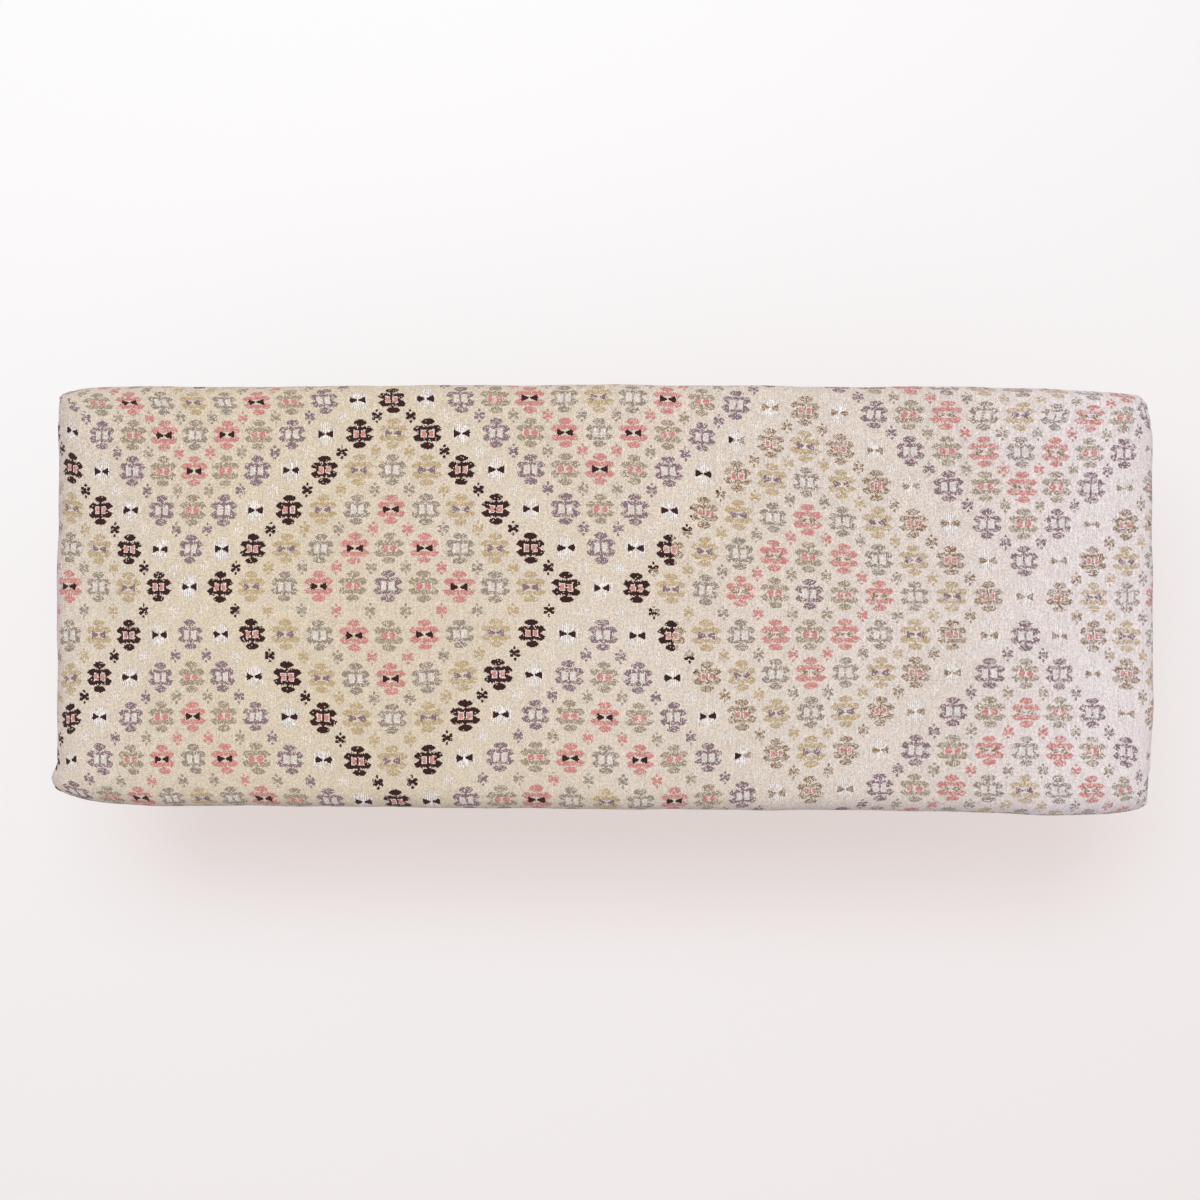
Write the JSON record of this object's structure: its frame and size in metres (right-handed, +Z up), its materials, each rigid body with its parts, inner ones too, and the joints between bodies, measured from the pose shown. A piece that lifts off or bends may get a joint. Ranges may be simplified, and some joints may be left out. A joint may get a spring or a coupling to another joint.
{
  "type": "upholstered bench",
  "caption": "Long padded bench seat in a fitted flat-woven cover, on turned tapered wooden legs with nail-on glides.",
  "frame": {"origin": "on the floor, under the middle of the seat", "axes": "+X along the bench's length, -Y towards its front, +Z up"},
  "size_m": [1.2, 0.465, 0.45],
  "materials": {
    "kilim_cloth": "flat-woven wool and cotton with brocaded motifs",
    "polyester_wadding": "soft white fibre",
    "seat_foam": "open-cell polyurethane foam",
    "birch_plywood": "sanded birch plywood",
    "pine": "planed pine",
    "beech": "planed beech",
    "walnut": "turned walnut, satin oil",
    "zinc_steel": "bright zinc",
    "yellow_zinc": "yellow passivated zinc",
    "staple_wire": "galvanised wire",
    "glide_nylon": "moulded nylon on a steel nail",
    "black_spunbond": "spunbond polypropylene"
  },
  "bodies": {
    "root": {"kilim_cover": "kilim_cloth", "wadding": "polyester_wadding", "foam_pad": "seat_foam", "seat_deck": "birch_plywood", "front_rail": "pine", "back_rail": "pine", "left_rail": "pine", "right_rail": "pine", "left_cross_rail": "pine", "centre_cross_rail": "pine", "right_cross_rail": "pine", "front_left_block": "beech", "front_right_block": "beech", "back_left_block": "beech", "back_right_block": "beech", "front_left_leg": "walnut", "front_right_leg": "walnut", "back_left_leg": "walnut", "back_right_leg": "walnut", "front_left_leg_plate": "zinc_steel", "front_right_leg_plate": "zinc_steel", "back_left_leg_plate": "zinc_steel", "back_right_leg_plate": "zinc_steel", "front_left_glide": "glide_nylon", "front_right_glide": "glide_nylon", "back_left_glide": "glide_nylon", "back_right_glide": "glide_nylon", "hanger_bolts": "zinc_steel", "leg_plate_screws": "zinc_steel", "block_screws": "yellow_zinc", "corner_joint_screws": "yellow_zinc", "cross_rail_screws": "yellow_zinc", "deck_screws": "yellow_zinc", "dust_cover": "black_spunbond", "cover_staples": "staple_wire", "dust_cover_staples": "staple_wire"}
  },
  "joints": []
}
